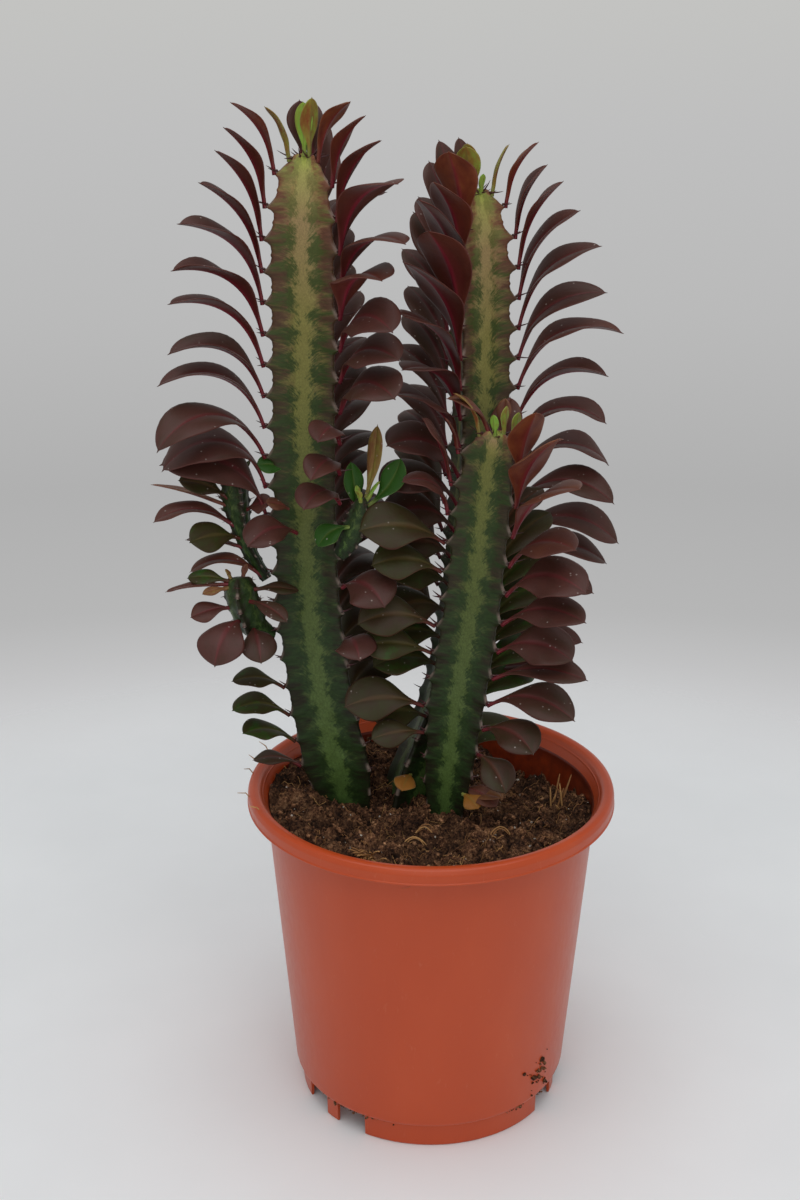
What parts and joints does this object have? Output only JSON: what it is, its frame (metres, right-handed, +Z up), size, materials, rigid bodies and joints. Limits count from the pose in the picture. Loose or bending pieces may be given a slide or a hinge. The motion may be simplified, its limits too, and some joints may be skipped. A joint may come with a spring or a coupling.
{
  "type": "potted euphorbia",
  "caption": "Upright ribbed succulent with toothed green stems and wine-red leaves, rooted in dark peat in a plain tapered terracotta-coloured plastic nursery pot.",
  "frame": {"origin": "centre of the plant's greatest spread, on the plane that the pot's foot ring stands on; the pot's own axis stands 16.88 mm from it towards +X", "axes": "+Z up, along the pot's axis; +X to the right and +Y to the back of the view in which the tall stem stands at the left and the short stem in front"},
  "size_m": [0.2064, 0.17, 0.4616],
  "materials": {
    "pot_plastic": "satin",
    "peat_soil": "matte",
    "stem_skin": "satin",
    "wine_leaf": "satin"
  },
  "bodies": {
    "root": {"leaf_middle_front_01": "wine_leaf", "leaf_middle_front_02": "wine_leaf", "leaf_middle_front_03": "wine_leaf", "leaf_middle_right_01": "wine_leaf", "leaf_middle_right_02": "wine_leaf", "leaf_middle_right_03": "wine_leaf", "leaf_middle_right_04": "wine_leaf", "leaf_middle_right_05": "wine_leaf", "leaf_middle_right_06": "wine_leaf", "leaf_middle_right_07": "wine_leaf", "leaf_middle_right_08": "wine_leaf", "leaf_middle_right_09": "wine_leaf", "leaf_middle_right_10": "wine_leaf", "leaf_middle_right_11": "wine_leaf", "leaf_middle_right_12": "wine_leaf", "leaf_middle_right_13": "wine_leaf", "leaf_short_front_01": "wine_leaf", "leaf_short_front_02": "wine_leaf", "leaf_short_front_03": "wine_leaf", "leaf_short_front_04": "wine_leaf", "leaf_short_front_05": "wine_leaf", "leaf_short_front_06": "wine_leaf", "leaf_short_front_07": "wine_leaf", "leaf_short_front_08": "wine_leaf", "leaf_short_front_09": "wine_leaf", "leaf_tall_front_01": "wine_leaf", "leaf_tall_front_02": "wine_leaf", "leaf_tall_front_03": "wine_leaf", "leaf_tall_front_04": "wine_leaf", "leaf_tall_front_05": "wine_leaf", "leaf_tall_front_06": "wine_leaf", "leaf_tall_front_07": "wine_leaf", "leaf_tall_front_08": "wine_leaf", "leaf_tall_left_01": "wine_leaf", "leaf_tall_left_02": "wine_leaf", "leaf_tall_left_03": "wine_leaf", "leaf_tall_left_04": "wine_leaf", "leaf_tall_left_05": "wine_leaf", "leaf_tall_left_06": "wine_leaf", "leaf_tall_left_07": "wine_leaf", "leaf_tall_left_08": "wine_leaf", "leaf_tall_left_09": "wine_leaf", "leaf_tall_left_10": "wine_leaf", "leaf_tall_left_11": "wine_leaf", "leaf_tall_left_12": "wine_leaf", "leaf_tall_left_13": "wine_leaf", "leaf_tall_left_14": "wine_leaf", "leaf_tall_left_15": "wine_leaf", "leaf_tall_left_16": "wine_leaf", "leaf_tall_left_17": "wine_leaf", "pot": "pot_plastic", "side_shoot_green": "stem_skin", "side_shoot_left": "stem_skin", "side_shoot_upper_left": "stem_skin", "soil": "peat_soil", "stem_middle": "stem_skin", "stem_short": "stem_skin", "stem_tall": "stem_skin"}
  },
  "joints": []
}
